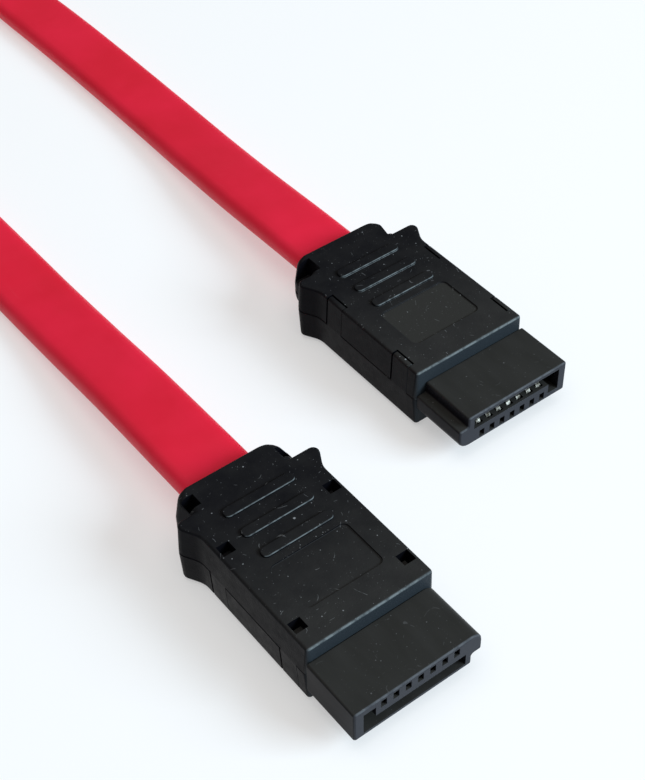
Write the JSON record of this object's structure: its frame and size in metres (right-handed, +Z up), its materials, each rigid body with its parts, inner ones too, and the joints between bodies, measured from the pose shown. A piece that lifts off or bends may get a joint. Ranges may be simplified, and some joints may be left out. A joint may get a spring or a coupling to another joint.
{
  "type": "sata data cable",
  "caption": "Flat red data cable with a black contact plug of two snapped covers on each end, doubled back side by side with its middle looped in a tie.",
  "frame": {"origin": "on the table, at the middle of the two connectors' common box", "axes": "+Z up; both plugs' noses point to -Y; the cable leaves to +Y; end 1 is at +X"},
  "size_m": [0.0424, 0.2457, 0.0093],
  "materials": {
    "cover": "fine moulded texture, slightly satin",
    "insulator": "smooth satin",
    "contact": "polished, thin gold plating",
    "drain_wire": "tinned",
    "wire_core": "natural, slightly glossy",
    "jacket": "soft satin PVC with faint scuffs",
    "tie": "satin nylon"
  },
  "bodies": {
    "root": {"end1_slotted_cover": "cover", "end1_holed_cover": "cover", "end1_nose_insulator": "insulator", "end1_contact_1": "contact", "end1_contact_2": "contact", "end1_contact_3": "contact", "end1_contact_4": "contact", "end1_contact_5": "contact", "end1_contact_6": "contact", "end1_contact_7": "contact", "end1_ground_wire_1": "drain_wire", "end1_ground_wire_2": "drain_wire", "end1_ground_wire_3": "drain_wire", "end1_signal_wire_1": "wire_core", "end1_signal_wire_2": "wire_core", "end1_signal_wire_3": "wire_core", "end1_signal_wire_4": "wire_core", "end2_slotted_cover": "cover", "end2_holed_cover": "cover", "end2_nose_insulator": "insulator", "end2_contact_1": "contact", "end2_contact_2": "contact", "end2_contact_3": "contact", "end2_contact_4": "contact", "end2_contact_5": "contact", "end2_contact_6": "contact", "end2_contact_7": "contact", "end2_ground_wire_1": "drain_wire", "end2_ground_wire_2": "drain_wire", "end2_ground_wire_3": "drain_wire", "end2_signal_wire_1": "wire_core", "end2_signal_wire_2": "wire_core", "end2_signal_wire_3": "wire_core", "end2_signal_wire_4": "wire_core", "flat_cable": "jacket", "cable_tie": "tie"}
  },
  "joints": []
}
